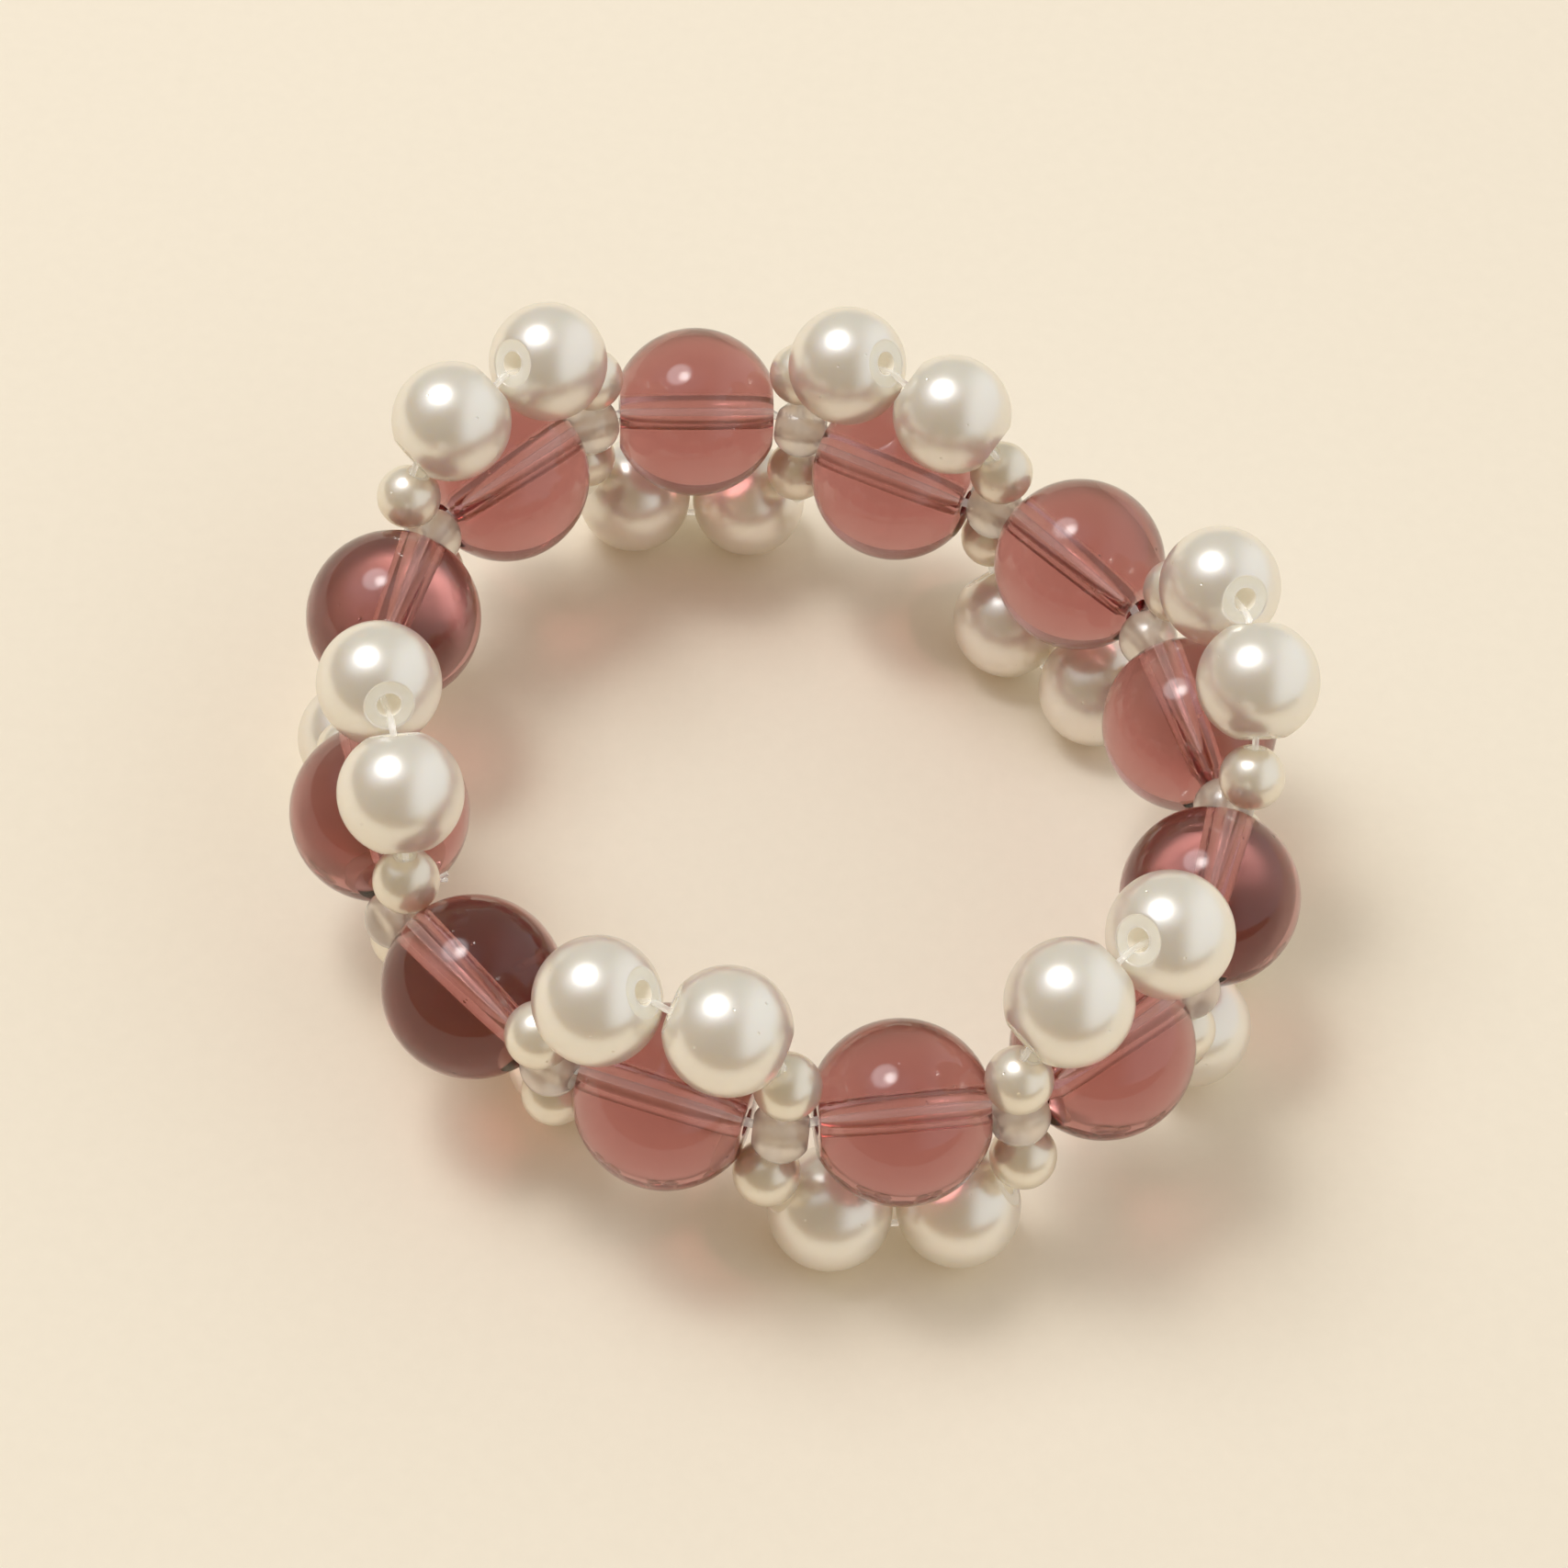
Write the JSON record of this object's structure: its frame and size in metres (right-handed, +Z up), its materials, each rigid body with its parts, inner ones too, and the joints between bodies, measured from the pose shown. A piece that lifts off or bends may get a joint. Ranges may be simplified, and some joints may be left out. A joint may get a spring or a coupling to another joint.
{
  "type": "beaded stretch bracelet",
  "caption": "Stretch bracelet of large clear plum beads in a ring, with pearl pairs above and below them and columns of small pearls and milky spacers in the gaps.",
  "frame": {"origin": "on the surface that the bracelet lies on, under the middle of its plan", "axes": "+Z up, through the wrist opening; +X to the right and +Y away, as it lies"},
  "size_m": [0.0688, 0.0684, 0.0272],
  "materials": {
    "plum_acrylic": "clear tinted acrylic, polished, dusty plum",
    "pearl_coat": "satin nacre coat over moulded plastic, off-white",
    "milky_resin": "milky translucent resin, polished",
    "clear_elastic": "clear stretch cord, smooth"
  },
  "bodies": {
    "root": {"plum_bead_01": "plum_acrylic", "under_pearl_01_a": "pearl_coat", "under_pearl_01_b": "pearl_coat", "spacer_column_01": "pearl_coat", "plum_bead_02": "plum_acrylic", "top_pearl_02_a": "pearl_coat", "top_pearl_02_b": "pearl_coat", "spacer_column_02": "pearl_coat", "plum_bead_03": "plum_acrylic", "under_pearl_03_a": "pearl_coat", "under_pearl_03_b": "pearl_coat", "spacer_column_03": "pearl_coat", "plum_bead_04": "plum_acrylic", "top_pearl_04_a": "pearl_coat", "top_pearl_04_b": "pearl_coat", "spacer_column_04": "pearl_coat", "plum_bead_05": "plum_acrylic", "under_pearl_05_a": "pearl_coat", "under_pearl_05_b": "pearl_coat", "spacer_column_05": "pearl_coat", "plum_bead_06": "plum_acrylic", "top_pearl_06_a": "pearl_coat", "top_pearl_06_b": "pearl_coat", "spacer_column_06": "pearl_coat", "plum_bead_07": "plum_acrylic", "under_pearl_07_a": "pearl_coat", "under_pearl_07_b": "pearl_coat", "spacer_column_07": "pearl_coat", "plum_bead_08": "plum_acrylic", "top_pearl_08_a": "pearl_coat", "top_pearl_08_b": "pearl_coat", "spacer_column_08": "pearl_coat", "plum_bead_09": "plum_acrylic", "under_pearl_09_a": "pearl_coat", "under_pearl_09_b": "pearl_coat", "spacer_column_09": "pearl_coat", "plum_bead_10": "plum_acrylic", "top_pearl_10_a": "pearl_coat", "top_pearl_10_b": "pearl_coat", "spacer_column_10": "pearl_coat", "plum_bead_11": "plum_acrylic", "under_pearl_11_a": "pearl_coat", "under_pearl_11_b": "pearl_coat", "spacer_column_11": "pearl_coat", "plum_bead_12": "plum_acrylic", "top_pearl_12_a": "pearl_coat", "top_pearl_12_b": "pearl_coat", "spacer_column_12": "pearl_coat", "main_elastic": "clear_elastic"}
  },
  "joints": []
}
